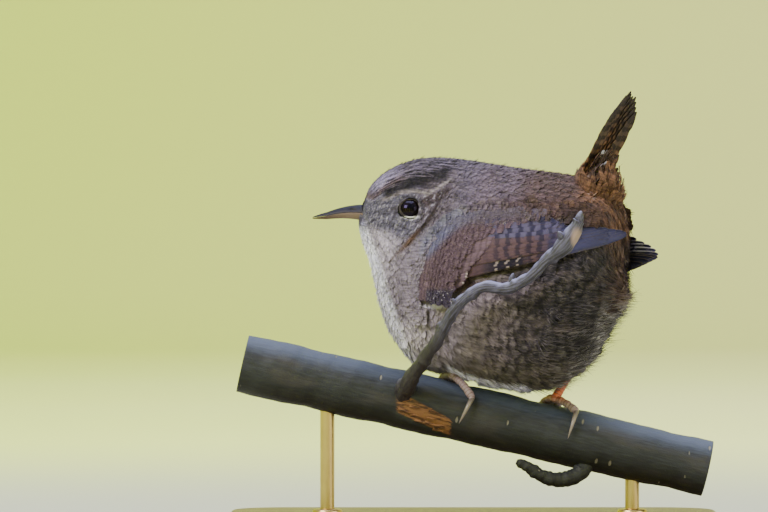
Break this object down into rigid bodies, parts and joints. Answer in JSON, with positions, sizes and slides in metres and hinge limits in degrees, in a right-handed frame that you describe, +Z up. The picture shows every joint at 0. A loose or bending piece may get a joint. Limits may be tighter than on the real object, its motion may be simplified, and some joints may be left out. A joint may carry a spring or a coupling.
{
  "type": "wren on a branch, display model",
  "caption": "Life-size still model of a wren with its tail cocked, gripping a cut length of branch that is held over a flat base by short rods.",
  "frame": {"origin": "centre of the base's underside", "axes": "+X along the branch from the side the bill points to, towards the tail; +Z up; the wren's left side faces -Y"},
  "size_m": [0.104, 0.066, 0.0955],
  "materials": {
    "body_feathers": "soft brown and buff body feathers",
    "flight_feathers": "barred rufous brown vanes with a faint sheen",
    "eye": "wet black-brown gloss",
    "bill": "smooth horn, dark above and paler below",
    "leg_skin": "scaled pinkish brown skin",
    "bark": "smooth dark bark with pale pores",
    "base_wood": "dark oiled wood",
    "rod_brass": "satin brass"
  },
  "bodies": {
    "root": {"head": "body_feathers", "neck": "body_feathers", "torso": "body_feathers", "wing_left": "flight_feathers", "wing_right": "flight_feathers", "tail": "flight_feathers", "eye_left": "eye", "eye_right": "eye", "bill_upper": "bill", "bill_lower": "bill", "leg_left": "leg_skin", "leg_right": "leg_skin", "foot_left": "leg_skin", "foot_right": "leg_skin", "perch_branch": "bark", "perch_twig": "bark", "perch_spur": "bark", "stand_base": "base_wood", "stand_rod_left": "rod_brass", "stand_rod_right": "rod_brass"}
  },
  "joints": []
}
